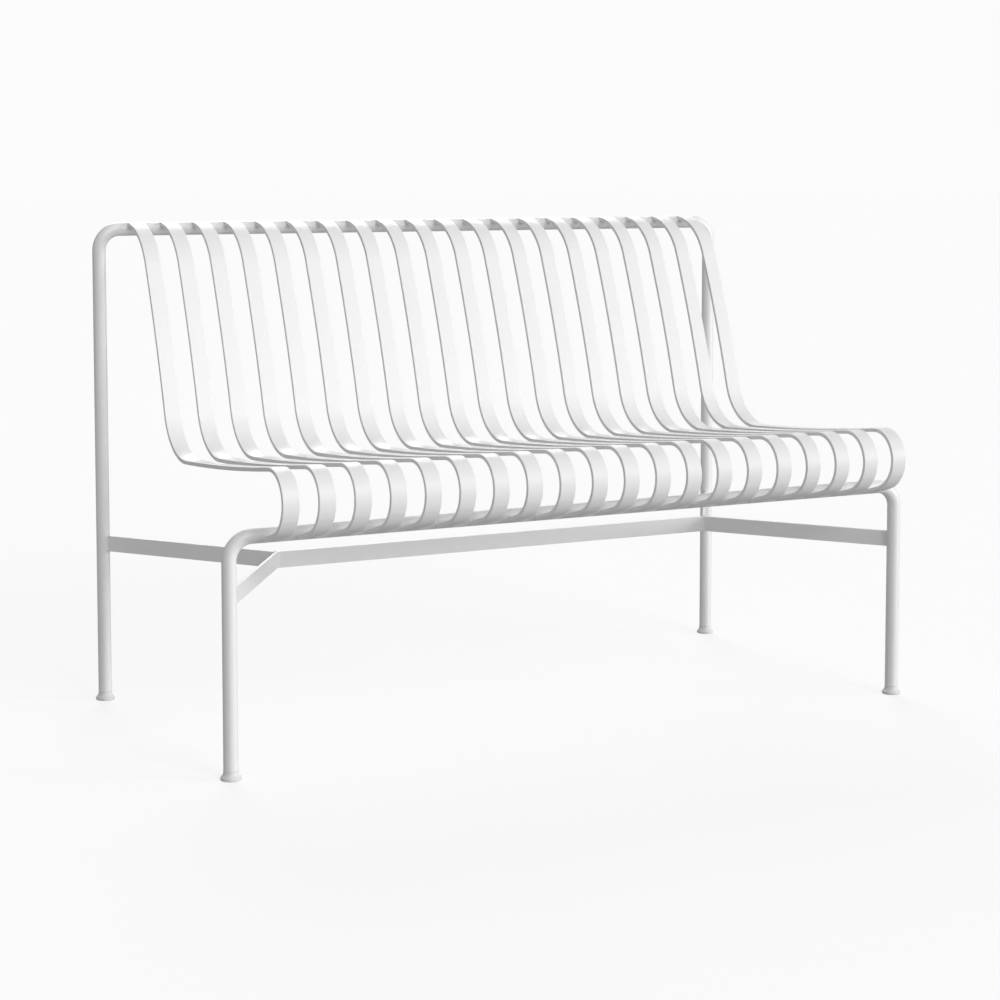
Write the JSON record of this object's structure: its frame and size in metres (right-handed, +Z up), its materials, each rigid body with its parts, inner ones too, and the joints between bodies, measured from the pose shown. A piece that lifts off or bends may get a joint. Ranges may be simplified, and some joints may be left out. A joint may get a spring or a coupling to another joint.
{
  "type": "garden bench",
  "caption": "Long slatted metal bench with a back: curled flat slats welded between two bent tube frames, flat bar stretchers and flared foot glides.",
  "frame": {"origin": "on the floor, at the middle of the bench's overall length and depth", "axes": "+Z up, +X along the bench, -Y the way the sitter faces"},
  "size_m": [1.227, 0.6884, 0.8],
  "materials": {
    "powder_coat": "white powder coat, satin, fine texture",
    "glide_plastic": "pale grey moulded plastic, matte"
  },
  "bodies": {
    "root": {"rear_frame": "powder_coat", "front_frame": "powder_coat", "centre_stretcher": "powder_coat", "rear_brace_left": "powder_coat", "rear_brace_right": "powder_coat", "slat_01": "powder_coat", "slat_02": "powder_coat", "slat_03": "powder_coat", "slat_04": "powder_coat", "slat_05": "powder_coat", "slat_06": "powder_coat", "slat_07": "powder_coat", "slat_08": "powder_coat", "slat_09": "powder_coat", "slat_10": "powder_coat", "slat_11": "powder_coat", "slat_12": "powder_coat", "slat_13": "powder_coat", "slat_14": "powder_coat", "slat_15": "powder_coat", "slat_16": "powder_coat", "slat_17": "powder_coat", "slat_18": "powder_coat", "slat_19": "powder_coat", "slat_20": "powder_coat", "foot_glide_front_left": "glide_plastic", "foot_glide_front_right": "glide_plastic", "foot_glide_rear_left": "glide_plastic", "foot_glide_rear_right": "glide_plastic"}
  },
  "joints": []
}
